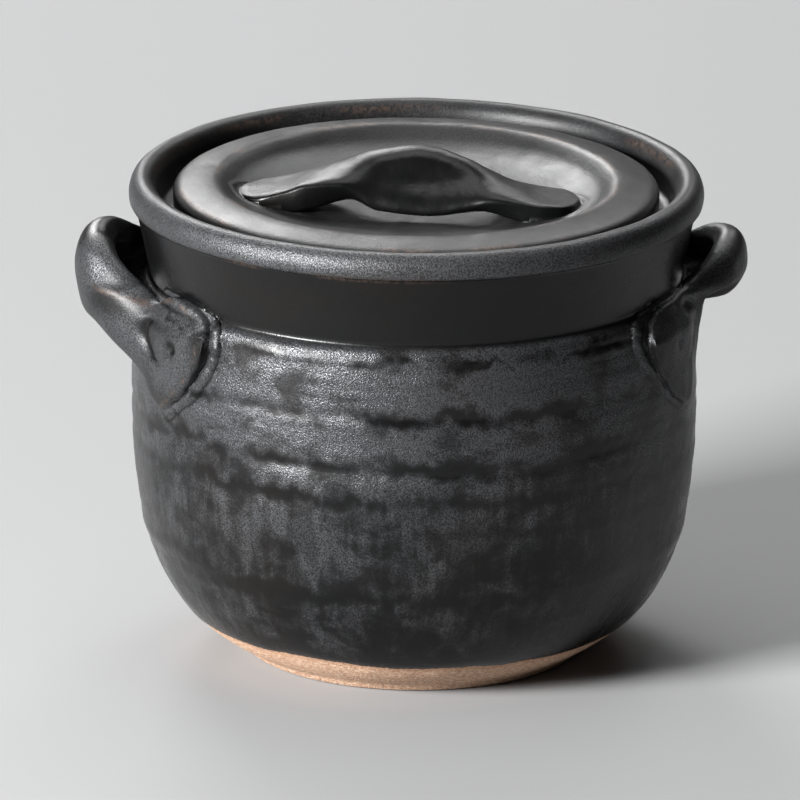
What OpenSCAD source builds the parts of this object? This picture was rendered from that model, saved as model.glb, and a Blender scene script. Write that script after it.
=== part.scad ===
// Clay rice pot with a lid that lies inside a flared collar.
// The pot stands on its flat base at Z = 0, its axis is Z, and its ears point along X.

/* [Body] */
// Height of the widest level of the belly
belly_z = 64; // [56:0.5:70]
// Radius of the belly at its widest level
belly_r = 73.7; // [70:0.1:76]
// Radius of the flat unglazed base
base_r = 44; // [38:0.5:50]
// Height of the crease where the shoulder meets the collar
crease_z = 100.8; // [97:0.2:105]
// How far the wall draws in from the belly to the crease
crease_in = 4.5; // [3:0.1:6]
// Height of the rounded turn of the shoulder below the crease
shoulder_h = 7; // [5:0.5:9]
// Thickness of the side wall
wall = 6; // [5:0.1:7]
// Thickness of the base
floor_t = 7; // [5:0.5:10]

/* [Collar and rim] */
// Height of the collar from the crease to the underside of the rim bead
collar_h = 19.3; // [17:0.1:23]
// How far the collar leans out from the crease to the rim bead
collar_lean = 4.1; // [2:0.1:5]
// How far the rim bead stands out past the collar
rim_over = 1.7; // [1:0.1:3]
// Height of the rim bead
bead_h = 6.9; // [6:0.1:9]
// Width of the rim bead
bead_w = 7.5; // [6:0.1:9]

/* [Ledge for the lid] */
// Depth of the ledge below the top of the rim
ledge_depth = 10; // [9:0.1:12]
// Width of the ledge from the wall of the collar to its edge
ledge_w = 7; // [6:0.1:9]
// Thickness of the ledge at its edge
ledge_t = 5; // [4:0.1:6]

/* [Lid] */
// Gap between the edge of the lid and the wall of the collar
lid_gap = 3.2; // [1.5:0.1:4]
// Gap between the belly of the lid and the edge of the ledge
seat_gap = 1; // [0.5:0.1:2]
// Height of the crest of the lid's ring above the ledge
lid_h = 8.9; // [8:0.1:11]
// Width of the sloping rim from the lid's edge to the crest of its ring
lid_rim_w = 10.5; // [8.5:0.1:13]
// How far the lid's edge lies below the crest
edge_drop = 1.6; // [1:0.1:3]
// Depth of the dish inside the ring
dish_depth = 7.9; // [6:0.1:9]
// Thickness of the lid under the dish
lid_t = 5.5; // [4.5:0.1:7]

/* [Lid handle] */
// Distance between the crest of the lid's ring and each end of the strap
handle_inset = 8.4; // [6:0.1:13]
// Width of the strap
handle_w = 21; // [17:0.5:21.5]
// Thickness of the strap
handle_t = 5.6; // [5:0.1:6.3]
// Height of the top of the strap above the bottom of the dish
handle_rise = 16.6; // [16.3:0.1:19]
// Height of the strap's two tongues above the bottom of the dish
tongue_h = 4.6; // [4:0.1:5]
// How far the strap is twisted towards the front at its crest
handle_twist = 38; // [25:1:40]
// How far the middle of the strap lies from the pot's axis, to the left and to the front
handle_off = 2; // [0:0.1:3]
// Direction of the strap about the pot's axis
handle_turn = -7.5; // [-12:0.5:12]

/* [Ears] */
// How far the left ear stands out past the belly
left_ear_reach = 15.6; // [13:0.1:18]
// How far the right ear stands out past the belly
right_ear_reach = 13.2; // [13:0.1:18]
// Height of the left ear's band at its middle
left_ear_h = 22.8; // [20:0.1:26]
// Height of the right ear's band at its middle
right_ear_h = 15.8; // [15:0.1:20]
// Height of the top of the left ear above the crease
left_ear_top = 12.8; // [11:0.1:16]
// Height of the top of the right ear above the crease
right_ear_top = 10.9; // [9:0.1:13]
// How much higher the back arm of the left ear lies than its front arm
left_ear_skew = 6; // [0:0.1:7]
// How much higher the back arm of the right ear lies than its front arm
right_ear_skew = 0.3; // [0:0.1:7]
// Thickness of the ear's band at its middle
ear_band_t = 7.2; // [6.5:0.1:8]
// How far the rolled lip of the left ear reaches in from the ear's outer face
left_lip_in = 10; // [9:0.1:10.6]
// How far the rolled lip of the right ear reaches in from the ear's outer face
right_lip_in = 7.7; // [7.4:0.1:8.4]
// How far the rolled lip of the left ear hangs below the top of the ear
left_lip_down = 7.5; // [5:0.1:9]
// How far the rolled lip of the right ear hangs below the top of the ear
right_lip_down = 5.4; // [4:0.1:6.5]
// How far the pressed ends reach below the crease
ear_pad_drop = 27.5; // [22:0.5:30]
// How far the pressed ends reach round the pot from the ear's middle
ear_spread = 41; // [36:1:45]
// How much lower the upper edge of the right ear's pads lies than that of the left ear's
right_pad_drop = 2.4; // [0:0.1:4]
// How far the pressed ends stand proud of the shoulder
ear_pad_t = 3.2; // [2:0.1:4]
// Depth of the thumb dents in the pressed ends
dent_depth = 1.2; // [0:0.1:2]

/* [Hidden] */

pot_glaze = "#2b2d30";
lid_glaze = "#303236";

// Heights and radii that follow from the sizes above; the collar's inside lies under_bead
// behind the bead
crease_r = belly_r - crease_in;
collar_top_r = crease_r + collar_lean;
rim_r = collar_top_r + rim_over;
bead_z = crease_z + collar_h;
rim_z = bead_z + bead_h;
ledge_z = rim_z - ledge_depth;
under_bead = 1;
gallery_r = rim_r - bead_w - under_bead;
ledge_r = gallery_r - ledge_w;
lid_r = gallery_r - lid_gap;
crest_r = lid_r - lid_rim_w;
lid_top = ledge_z + lid_h;
dish_z = lid_top - dish_depth;
handle_len = 2 * (crest_r - handle_inset);
tongue_top = dish_z + tongue_h;
handle_top = dish_z + handle_rise;

// Roundness of the turned surfaces and steps along curves
turned_fn = 96;
curve_steps = 22;
ring_points = 28;

function mix(a, b, t) = a + (b - a) * t;
function clamp01(t) = min(1, max(0, t));
function smooth(a, b, x) = let (t = clamp01((x - a) / (b - a))) t * t * (3 - 2 * t);
function bump(x, middle, half) = let (d = (x - middle) / half) exp(-d * d);

// Points of a cubic curve after its start
function curve(a, b, c, d, steps) = [
    for (i = [1:steps])
        let (t = i / steps, s = 1 - t)
            s * s * s * a + 3 * s * s * t * b + 3 * s * t * t * c + t * t * t * d
];

// Points of an elliptical arc from one angle to another
function arc(cx, cz, rx, rz, from, to, steps) = [
    for (i = [0:steps])
        let (g = mix(from, to, i / steps)) [cx + rx * cos(g), cz + rz * sin(g)]
];

// Closed ring of a rounded strap section: half width a, half height b
function rounded(a, b, squareness) = [
    for (i = [0:ring_points - 1])
        let (g = 360 * i / ring_points, c = cos(g), s = sin(g))
            [a * sign(c) * pow(abs(c), squareness), b * sign(s) * pow(abs(s), squareness)]
];

// Closed skin over a row of rings that all have ring_points points
module loft(rings) {
    n = ring_points;
    last = len(rings) - 1;
    sides = [
        for (i = [0:last - 1], j = [0:n - 1])
            let (k = (j + 1) % n)
                each [
                    [i * n + j, (i + 1) * n + j, (i + 1) * n + k],
                    [i * n + j, (i + 1) * n + k, i * n + k]
                ]
    ];
    start_cap = [for (j = [0:n - 1]) j];
    end_cap = [for (j = [n - 1:-1:0]) last * n + j];
    polyhedron([for (r = rings) each r], concat(sides, [start_cap, end_cap]), convexity = 6);
}

// The wall leaves the base at a slant of base_out by base_up, is upright at the belly,
// and has drawn in by turn_in where the shoulder's turn starts
base_out = 3;
base_up = 5;
turn_in = 1.3;
turn_z = crease_z - shoulder_h;
belly_side = concat(
    curve([base_r, 0], [base_r + base_out, base_up], [belly_r, belly_z * 0.115],
        [belly_r, belly_z], curve_steps),
    curve([belly_r, belly_z], [belly_r, belly_z + 12], [belly_r - turn_in / 2, turn_z - 8],
        [belly_r - turn_in, turn_z], 6)
);

// The shoulder turns in below the collar, so that the crease is a sharp groove
crease_cut = 0.2;
shoulder_turn = arc(crease_r - crease_cut, turn_z,
    belly_r - turn_in - crease_r + crease_cut, shoulder_h, 12, 84, 6);

collar_side = curve([crease_r, crease_z], [crease_r + 1, crease_z + 6],
    [collar_top_r - 1.6, bead_z - 6], [collar_top_r, bead_z], 6);

// The bead hangs a little over the collar and is rounded over its whole top
bead_round = bead_h * 0.7;
bead_outside = arc(rim_r - bead_w / 2, rim_z - bead_round, bead_w / 2, bead_round, -25, 180, 16);

// Cavity from the middle of the floor, round its corner and up the wall to the edge of the ledge,
// which is rounded by edge_round so that its top stays flat for the lid
floor_r = base_r - 14;
inner_r = belly_r - wall;
ledge_round = ledge_t / 2;
edge_round = 1;
ledge_slope = 3;
cavity = concat(
    [[0, floor_t], [floor_r, floor_t]],
    curve([floor_r, floor_t], [base_r + 14, floor_t], [inner_r, floor_t + 16],
        [inner_r, belly_z], curve_steps),
    curve([inner_r, belly_z], [inner_r, belly_z + 16], [inner_r - 0.5, crease_z - 12],
        [crease_r - wall - 0.5, crease_z], 8),
    [[ledge_r + 2, ledge_z - ledge_t - ledge_slope]],
    arc(ledge_r + edge_round, ledge_z - ledge_round, edge_round, ledge_round, 200, 90, 6)
);

module vessel() {
    rotate_extrude($fn = turned_fn)
        polygon(concat(
            [[0, 0], [base_r, 0]],
            belly_side,
            shoulder_turn,
            [[crease_r, crease_z]],
            collar_side,
            bead_outside,
            [[gallery_r, ledge_z]],
            [for (i = [len(cavity) - 1:-1:0]) cavity[i]]
        ));
}

// The ear is cut by upright planes through the pot's axis, with u from 0 at the band's middle
// to 1 at the end of a pressed pad. The band's upper edge falls to the pad over crest[0] and dips
// by crest[1] in a waist before it. The pad reaches pad_top over the crease, ends in a round corner
// pad_corner below it and is rooted in the wall by pad_root.
pad_top = 3;
pad_corner = 5;
pad_end_h = 0.6;
left_crest = [0.4, 2.2];
right_crest = [0.6, 0];
pad_root = wall - 0.9;
function ear_upper(u, ear_top, crest, pad_drop) = crease_z
    + mix(ear_top, pad_top - pad_drop, smooth(0, crest[0], u))
    - crest[1] * bump(u, 0.47, 0.1)
    - (pad_top - pad_drop + pad_corner) * (1 - sqrt(1 - pow(clamp01((u - 0.7) / 0.3), 2.2)));
function ear_lower(u, ear_top, band_h, fall) = crease_z
    + mix(ear_top - band_h, -ear_pad_drop, smooth(fall[0], fall[1], u))
    + (ear_pad_drop - pad_corner - pad_end_h)
        * (1 - pow(1 - pow(clamp01((u - 0.6) / 0.4), 1.4), 0.8));
function ear_outer(u, reach) = belly_r + mix(reach, ear_pad_t, smooth(0, 0.6, u));

// Between these shares of its way to the pads the lower edge of each ear's band falls
left_fall = [0.06, 0.66];
right_fall = [0.2, 0.44];

// Middle line of the rolled band as a cubic curve from its lower edge up, over and down to the lip:
// how far its points lie in from the outer face, and their heights. The lip draws back by a share
// on its way to the pads; the right ear's lip stays close to the collar.
left_roll = [5.2, 2.6, 2.9];
right_roll = [7, 1.5, 3.2];
left_roll_up = [0.32, 3.8];
right_roll_up = [0.22, 2.6];
left_lip_back = 0.45;
right_lip_back = 0.05;

// How much thinner the band is at its lower edge and at its lip
edge_thin = 0.3;
lip_thin = 0.25;

// Between these shares of its way to the pads the rolled band passes into the pressed pad. The
// power gives the roundness of the section's ends, low for round ones, and the pads lie back with
// the shoulder by a share of crease_in.
press_span = [0.24, 0.56];
band_power = 3.4;
pad_power = 6;
pad_follow = 0.75;

// Height of the soft step below the crease where the right ear's roll passes into its pads
step_h = 4.8;

function roll_in(u, lip_in, lip_back, roll) =
    [roll[0], roll[1], roll[2], lip_in * (1 - lip_back * smooth(0, 0.42, u))];
function roll_z(low, top, lip_down, up) =
    [low, mix(low, top, up[0]), top + up[1], top - lip_down];
function cubic(p, s) =
    pow(1 - s, 3) * p[0] + 3 * pow(1 - s, 2) * s * p[1] + 3 * (1 - s) * s * s * p[2] + pow(s, 3) * p[3];
function cubic_slope(p, s) = 3 * (
    pow(1 - s, 2) * (p[1] - p[0]) + 2 * (1 - s) * s * (p[2] - p[1]) + s * s * (p[3] - p[2])
);

// Two thumb dents side by side in each pad
function dents(g, z) = dent_depth
    * (bump(abs(g), ear_spread * 0.62, 3.2) * bump(z, crease_z - 8.5, 7)
        + bump(abs(g), ear_spread * 0.78, 3) * bump(z, crease_z - 10, 5));

// One upright section of an ear; g is the angle from the ear's middle, positive towards the back.
// A section's ends are rounded; under the right ear's roll the pads are pressed back by step.
// ear holds [reach, height, top, skew, fall, lip_in, lip_down, roll, roll_up, pad_drop, step, lip_back, crest]
function ear_ring(g, ear) =
    let (
        u = abs(g) / ear_spread,
        lift = g > 0 ? ear[3] * smooth(0, 0.25, u) * (1 - smooth(0.36, 0.7, u)) : 0,
        top = ear_upper(u, ear[2], ear[12], ear[9]) + lift,
        low = ear_lower(u, ear[2], ear[1], ear[4]) + lift,
        out = ear_outer(u, ear[0]),
        pressed = smooth(press_span[0], press_span[1], u),
        line_in = roll_in(u, ear[5], ear[11], ear[7]),
        line_up = roll_z(low, top, ear[6], ear[8]),
        pull = ear[10] * (out - belly_r - ear_pad_t) * smooth(0.1, 0.24, u),
        half_t = mix(ear_band_t, ear_pad_t + pad_root, pressed) / 2,
        power = mix(band_power, pad_power, pressed)
    )
    [
        for (i = [0:ring_points - 1])
            let (
                a = 360 * i / ring_points,
                side = sign(cos(a)) * pow(1 - pow(abs(sin(a)), power), 1 / power),
                s = (1 + sin(a)) / 2,
                pad_z = mix(low, top, s),
                turned_in = pad_follow * crease_in * smooth(turn_z, crease_z + 2, pad_z),
                pad_r = belly_r + (ear_pad_t - pad_root) / 2 - turned_in,
                thin = 1 - (1 - pressed)
                    * (edge_thin * (1 - clamp01(s / 0.45)) + lip_thin * clamp01((s - 0.55) / 0.45)),
                slope = [-cubic_slope(line_in, s), cubic_slope(line_up, s)],
                off = half_t * thin * side / norm(slope),
                rolled_r = out - cubic(line_in, s) + off * slope[1],
                rolled_z = cubic(line_up, s) - off * slope[0],
                z = mix(rolled_z, pad_z, pressed),
                face = side > 0 ? dents(g, z) : 0,
                r = mix(rolled_r, pad_r + half_t * side, pressed)
                    - pull * (1 - smooth(crease_z - step_h, crease_z, z)) - face
            )
            [r * cos(g), r * sin(g), z]
    ];

module ear(ear) {
    steps = 44;
    loft([for (i = [0:steps]) ear_ring(ear_spread * cos(180 * i / steps), ear)]);
}

left_ear = [left_ear_reach, left_ear_h, left_ear_top, left_ear_skew, left_fall,
    left_lip_in, left_lip_down, left_roll, left_roll_up, 0, 0, left_lip_back,
    left_crest];
right_ear = [right_ear_reach, right_ear_h, right_ear_top, right_ear_skew, right_fall,
    right_lip_in, right_lip_down, right_roll, right_roll_up, right_pad_drop, 1,
    right_lip_back, right_crest];

module pot() {
    color(pot_glaze) {
        vessel();
        ear(right_ear);
        mirror([1, 0, 0]) ear(left_ear);
    }
}

// Upper side of the lid from the middle of the dish, up to the crest and down to the edge
ring_foot_r = crest_r - 5;
ring_foot_z = lid_top - 2.6;
edge_r = 2.6;
edge_h = 2.2;
edge_z = lid_top - edge_drop;
lid_upper = concat(
    [[0, dish_z]],
    curve([0, dish_z], [crest_r * 0.45, dish_z], [crest_r * 0.78, dish_z + 0.6],
        [ring_foot_r, ring_foot_z], 10),
    curve([ring_foot_r, ring_foot_z], [crest_r - 3, lid_top - 1], [crest_r - 1.6, lid_top],
        [crest_r, lid_top], 5),
    curve([crest_r, lid_top], [crest_r + 3.5, lid_top], [lid_r - 5, edge_z + edge_drop * 0.6],
        [lid_r - edge_r / 2, edge_z], 6),
    arc(lid_r - edge_r, edge_z - edge_h, edge_r, edge_h, 50, 0, 5)
);

// Under side: a flat seat on the ledge, a step inside its edge and a shallow belly
seat_r = lid_r - 1;
seat_inner_r = ledge_r + edge_round;
step_r = ledge_r - seat_gap;
step_z = ledge_z - 0.6;
lid_bottom = dish_z - lid_t;
lid_under = concat(
    [[lid_r - 0.3, ledge_z + 1.2], [seat_r, ledge_z], [seat_inner_r, ledge_z], [step_r, step_z]],
    curve([step_r, step_z], [step_r - 3, lid_bottom + 1.5], [crest_r * 0.8, lid_bottom],
        [0, lid_bottom], 10)
);

module disc() {
    rotate_extrude($fn = turned_fn)
        polygon(concat(lid_upper, lid_under));
}

// The strap's lift, twist, rounding of the tongues and thickness, with v from -1 to 1 over its length.
// It is thickened by strap_swell where it bends up out of its tongues, and scooped at its crest.
strap_swell = [3, 4];
strap_scoop = 1.5;
strap_forward = 3;
function strap_lift(v) = smooth(-0.85, -0.02, v) * (1 - smooth(0.12, 0.8, v));
function strap_twist(v) = handle_twist * smooth(-0.42, -0.14, v) * (1 - smooth(0.05, 0.62, v));
function strap_tip(v) = sqrt(1 - pow(smooth(0.72, 1, abs(v)), 2) * 0.94);
function strap_thick(v) = handle_t
    + strap_swell[0] * bump(v, -0.44, 0.24)
    + strap_swell[1] * bump(v, 0.36, 0.24);

// How far a rounded section reaches up from its middle when it is tilted
function reach_up(half_w, half_t, tilt) =
    pow(pow(half_w * sin(tilt), 1.43) + pow(half_t * cos(tilt), 1.43), 0.7);

function strap_ring(v) =
    let (
        half_w = handle_w / 2 * strap_tip(v),
        half_t = strap_thick(v) / 2 * mix(0.75, 1, strap_tip(v)),
        tilt = strap_twist(v),
        middle_z = mix(tongue_top, handle_top, strap_lift(v)) - reach_up(half_w, half_t, tilt),
        middle_y = -handle_off - strap_forward * strap_lift(v)
    )
    [
        for (p = rounded(half_w, half_t, 0.6))
            let (
                scoop = p[1] > 0 ? strap_scoop * strap_lift(v) * (1 - pow(p[0] / half_w, 2)) : 0,
                h = p[1] - scoop
            )
            [
                v * handle_len / 2 - handle_off,
                middle_y + p[0] * cos(tilt) - h * sin(tilt),
                middle_z + p[0] * sin(tilt) + h * cos(tilt)
            ]
    ];

module strap() {
    steps = 56;
    rotate([0, 0, handle_turn])
        loft([for (i = [0:steps]) strap_ring(mix(-1, 1, i / steps))]);
}

module lid() {
    color(lid_glaze) {
        disc();
        strap();
    }
}

pot();
lid();
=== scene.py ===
"""Looks of the clay rice pot: thrown stoneware under a satin black iron glaze, with bare sandy clay at its foot.

The vessel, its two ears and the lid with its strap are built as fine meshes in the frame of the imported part.
Lengths are in millimetres until a mesh is made.
"""
import math

import bmesh
import bpy
import numpy as np
from mathutils import Matrix, Vector


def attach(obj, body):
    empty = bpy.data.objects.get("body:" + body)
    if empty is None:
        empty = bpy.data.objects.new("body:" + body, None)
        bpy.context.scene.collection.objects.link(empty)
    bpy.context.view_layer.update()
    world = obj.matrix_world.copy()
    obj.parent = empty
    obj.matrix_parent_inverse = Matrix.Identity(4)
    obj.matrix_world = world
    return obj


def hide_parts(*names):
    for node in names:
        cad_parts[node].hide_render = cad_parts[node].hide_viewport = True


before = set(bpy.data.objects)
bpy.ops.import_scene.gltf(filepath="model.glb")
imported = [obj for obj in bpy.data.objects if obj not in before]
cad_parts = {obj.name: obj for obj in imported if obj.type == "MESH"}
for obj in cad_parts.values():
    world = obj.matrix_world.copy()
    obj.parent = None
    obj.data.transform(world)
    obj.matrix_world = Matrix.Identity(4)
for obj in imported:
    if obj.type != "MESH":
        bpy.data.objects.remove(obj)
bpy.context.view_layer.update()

MM = 0.001
MERGE_MM = 0.004    # points closer than this after a union are one point

# Heights and radii of the vessel, bottom to top
BASE_R = 44.1
BELLY_R, BELLY_Z = 73.7, 64.0
CREASE_R, CREASE_Z = 69.2, 100.8
SHOULDER_H = 7.0
TURN_IN = 1.3
COLLAR_TOP_R = 73.3
BEAD_Z, RIM_Z = 120.1, 126.95
RIM_R, BEAD_W, BEAD_HALF = 74.9, 7.5, 4.83
GALLERY_R = 66.5
LEDGE_R, LEDGE_Z, LEDGE_T = 59.5, 117.0, 5.0
WALL, FLOOR_T = 6.0, 7.0
GLAZE_LINE_Z, GLAZE_T = 10.9, 0.35

# Lid
LID_R, LID_TOP = 63.2, 125.85
CREST_R = 52.8
DISH_Z = 118.0
LID_T = 5.5
LID_COLUMNS = 420
STRAP_RINGS, STRAP_HALF = 150, 30

# The photograph is taken from a little to the left of the ears' front view
VIEW_TURN = math.radians(-4)

# Where the lamps look, in metres, and the floor's colour
POT_MIDDLE = (0, 0, 0.09)
FLOOR_COLOUR = (0.258, 0.259, 0.261)


def smooth(low, high, x):
    """Eases from 0 at the first place to 1 at the second."""
    t = np.clip((x - low) / (high - low), 0, 1)
    return t * t * (3 - 2 * t)


def bump(x, middle, half):
    """Bell curve of height 1."""
    return np.exp(-(((x - middle) / half) ** 2))


def mix(a, b, t):
    return a + (b - a) * t


def bezier(a, b, c, d, steps):
    """Points of a cubic curve after its start."""
    t = np.linspace(0, 1, steps + 1)[1:, None]
    a, b, c, d = (np.array(p, float) for p in (a, b, c, d))
    return (1 - t) ** 3 * a + 3 * (1 - t) ** 2 * t * b + 3 * (1 - t) * t**2 * c + t**3 * d


def arc(cx, cz, rx, rz, start, end, steps):
    """Points of an ellipse's arc, with its start."""
    g = np.radians(np.linspace(start, end, steps + 1))
    return np.stack([cx + rx * np.cos(g), cz + rz * np.sin(g)], 1)


def line(a, b, steps):
    """Points of a straight line after its start."""
    t = np.linspace(0, 1, steps + 1)[1:, None]
    return np.array(a, float) + (np.array(b, float) - np.array(a, float)) * t


def through(xs, ys, x):
    """Smooth curve through given points that doesn't overshoot between them."""
    xs, ys = np.array(xs, float), np.array(ys, float)
    step = np.diff(xs)
    slope = np.diff(ys) / step
    tangent = np.zeros_like(ys)
    same = slope[:-1] * slope[1:] > 0
    tangent[1:-1][same] = 2 * slope[:-1][same] * slope[1:][same] / (slope[:-1] + slope[1:])[same]
    tangent[0], tangent[-1] = slope[0], slope[-1]
    k = np.clip(np.searchsorted(xs, x) - 1, 0, len(xs) - 2)
    h = step[k]
    t = np.clip((x - xs[k]) / h, 0, 1)
    return (
        (2 * t**3 - 3 * t**2 + 1) * ys[k]
        + (t**3 - 2 * t**2 + t) * h * tangent[k]
        + (3 * t**2 - 2 * t**3) * ys[k + 1]
        + (t**3 - t**2) * h * tangent[k + 1]
    )


def noise(seed, u, v, period):
    """Smooth noise from about -1 to 1, periodic in u with a whole number of cells."""
    rows = 61
    table = np.random.default_rng(seed).uniform(-1, 1, (rows, period))
    u, v = np.broadcast_arrays(u, v)
    ui, vi = np.floor(u).astype(int), np.floor(v).astype(int)
    fu, fv = smooth(0, 1, u - ui), smooth(0, 1, v - vi)
    a, b = table[vi % rows, ui % period], table[vi % rows, (ui + 1) % period]
    c, d = table[(vi + 1) % rows, ui % period], table[(vi + 1) % rows, (ui + 1) % period]
    return mix(mix(a, b, fu), mix(c, d, fu), fv)


def turn_noise(seed, angle, height, cell):
    """Noise on the wall, with cells of about the given size along and up."""
    period = max(3, round(2 * math.pi * BELLY_R / cell))
    return noise(seed, angle / (2 * math.pi) * period, height / cell, period)


def resample(points, spacing):
    """Points along a polyline so that each step is about the local spacing."""
    points = np.array(points)
    length = np.hypot(*np.diff(points, axis=0).T)
    count = np.concatenate([[0], np.cumsum(length / (0.5 * (spacing[1:] + spacing[:-1])))])
    n = int(round(count[-1]))
    wanted = np.linspace(0, count[-1], n + 1)
    return np.stack([np.interp(wanted, count, points[:, i]) for i in (0, 1)], 1)


def join_parts(start, start_spacing, parts):
    """One evenly spaced line from a start and parts that each have their own spacing."""
    points = np.vstack([[start]] + [p for p, _ in parts])
    spacing = np.concatenate([[start_spacing]] + [np.full(len(p), s) for p, s in parts])
    return resample(points, spacing)


def distance_to(px, py, line_x, line_y):
    """Distance of points to an open polyline."""
    best = np.full(px.shape, 1e9)
    for x0, y0, x1, y1 in zip(line_x[:-1], line_y[:-1], line_x[1:], line_y[1:]):
        dx, dy = x1 - x0, y1 - y0
        t = np.clip(((px - x0) * dx + (py - y0) * dy) / (dx * dx + dy * dy), 0, 1)
        best = np.minimum(best, np.hypot(px - x0 - t * dx, py - y0 - t * dy))
    return best


def inside(px, py, line_x, line_y):
    """Whether points lie inside a closed polygon."""
    result = np.zeros(px.shape, bool)
    x1, y1 = line_x[-1], line_y[-1]
    for x0, y0 in zip(line_x, line_y):
        crosses = (y0 > py) != (y1 > py)
        with np.errstate(divide="ignore", invalid="ignore"):
            at = (x1 - x0) * (py - y0) / (y1 - y0) + x0
        result ^= crosses & (px < at)
        x1, y1 = x0, y0
    return result


def make_mesh(name, verts, faces):
    """New object in the scene from points in millimetres."""
    mesh = bpy.data.meshes.new(name)
    mesh.from_pydata((verts * MM).tolist(), [], faces)
    mesh.validate()
    obj = bpy.data.objects.new(name, mesh)
    bpy.context.scene.collection.objects.link(obj)
    return obj


def grid_faces(rows, columns):
    """Quads of a grid whose columns run round."""
    faces = []
    for i in range(rows - 1):
        for j in range(columns):
            k = (j + 1) % columns
            faces.append([i * columns + j, i * columns + k, (i + 1) * columns + k, (i + 1) * columns + j])
    return faces


def turned(name, angles, r, z):
    """Closed turned surface: r and z are grids of rows by angles, and the first and last row close to the axis."""
    rows, columns = r.shape
    x, y = r * np.cos(angles), r * np.sin(angles)
    verts = np.stack([x, y, z], -1).reshape(-1, 3)
    faces = grid_faces(rows, columns)
    first, last = len(verts), len(verts) + 1
    verts = np.vstack([verts, [[0, 0, z[0].mean()]], [[0, 0, z[-1].mean()]]])
    top = (rows - 1) * columns
    for j in range(columns):
        k = (j + 1) % columns
        faces.append([first, k, j])
        faces.append([last, top + j, top + k])
    return make_mesh(name, verts, faces)


def lofted(name, rings):
    """Closed tube through rings of points, capped at both ends."""
    count, points = rings.shape[:2]
    faces = grid_faces(count, points)
    faces.append(list(range(points))[::-1])
    faces.append([(count - 1) * points + j for j in range(points)])
    return make_mesh(name, rings.reshape(-1, 3), faces)


def unite(obj, other):
    """Fuses the second closed mesh into the first."""
    for o in (obj, other):
        triangulate_caps(o)
    step = obj.modifiers.new("unite", "BOOLEAN")
    step.operation = "UNION"
    step.solver = "MANIFOLD"
    step.object = other
    bpy.context.view_layer.update()
    graph = bpy.context.evaluated_depsgraph_get()
    mesh = bpy.data.meshes.new_from_object(obj.evaluated_get(graph))
    obj.modifiers.clear()
    old = obj.data
    obj.data = mesh
    mesh.name = old.name
    bpy.data.meshes.remove(old)
    bpy.data.objects.remove(other)
    return obj


def triangulate_caps(obj):
    """Cuts the many-sided end faces of a loft into triangles and turns all faces outwards."""
    bm = bmesh.new()
    bm.from_mesh(obj.data)
    bmesh.ops.triangulate(bm, faces=[f for f in bm.faces if len(f.verts) > 4])
    bmesh.ops.recalc_face_normals(bm, faces=bm.faces)
    bm.to_mesh(obj.data)
    bm.free()


def drop_slivers(obj):
    """Merges points that lie on one another after the unions and drops fins of two triangles on the same points."""
    bm = bmesh.new()
    bm.from_mesh(obj.data)
    bmesh.ops.remove_doubles(bm, verts=bm.verts, dist=MERGE_MM * MM)
    bmesh.ops.dissolve_degenerate(bm, edges=bm.edges, dist=MERGE_MM * MM)
    bmesh.ops.triangulate(bm, faces=bm.faces)
    alike = {}
    for face in bm.faces:
        alike.setdefault(frozenset(face.verts), []).append(face)
    fins = [face for faces in alike.values() if len(faces) > 1 for face in faces]
    bmesh.ops.delete(bm, geom=fins, context="FACES")
    bm.to_mesh(obj.data)
    bm.free()


def coordinates(obj):
    """Points of a mesh in millimetres."""
    co = np.zeros(len(obj.data.vertices) * 3, np.float32)
    obj.data.vertices.foreach_get("co", co)
    return co.reshape(-1, 3).astype(float) / MM


def mask(obj, name, values):
    """Stores a value per point that the material reads."""
    attribute = obj.data.attributes.new(name, "FLOAT", "POINT")
    attribute.data.foreach_set("value", np.asarray(values, np.float32))


# Middle line of the roll of glazed slip round the pressed pads of each ear, as degrees from the ear's middle and
# height, from the gap behind the ear along the crease, down the pad's end and in to its tip
ROLL = {
    "left": [(14.0, 101.6), (18.0, 102.5), (23.0, 103.0), (28.0, 102.9), (33.0, 102.3), (36.4, 101.5), (38.6, 100.2),
             (40.3, 97.3), (40.8, 94.4), (40.2, 91.2), (37.8, 85.8), (34.3, 80.6), (29.8, 76.0), (25.6, 72.4),
             (22.4, 70.6)],
    "right": [(14.0, 100.6), (18.0, 101.0), (23.0, 101.2), (28.0, 101.2), (33.0, 101.2), (37.0, 101.0), (39.8, 99.9),
              (41.4, 97.8), (41.8, 95.4), (40.4, 90.9), (37.3, 85.9), (33.7, 81.3), (30.1, 77.6), (25.3, 73.9),
              (20.8, 71.6)],
}
# Edge of the pads, the same way
PAD = {
    "left": [(19.0, 101.4), (25.0, 103.2), (30.0, 103.0), (34.0, 101.4), (36.6, 98.6), (38.1, 94.4), (37.8, 91.6),
             (35.9, 86.9), (32.3, 81.2), (27.6, 75.8), (24.6, 73.2)],
    "right": [(18.0, 98.8), (23.0, 99.9), (29.6, 99.6), (34.6, 98.7), (37.5, 96.6), (38.9, 94.2), (37.4, 89.2),
              (34.0, 83.8), (28.4, 77.7), (24.0, 74.4)],
}


def from_ear(angle):
    """Degrees from the middle of the nearer ear, positive towards the back."""
    folded = (angle + math.pi) % (2 * math.pi) - math.pi
    near_right = np.abs(folded) < math.pi / 2
    left = np.where(folded > 0, math.pi - folded, -math.pi - folded)
    return np.degrees(np.where(near_right, folded, left))


def on_side(lines, angle):
    """For each side, which of the points are on it, and its line as distances along the wall and heights."""
    for side in lines:
        points = np.array(lines[side])
        yield (np.cos(angle) > 0) == (side == "right"), np.radians(points[:, 0]) * BELLY_R, points[:, 1]


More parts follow.
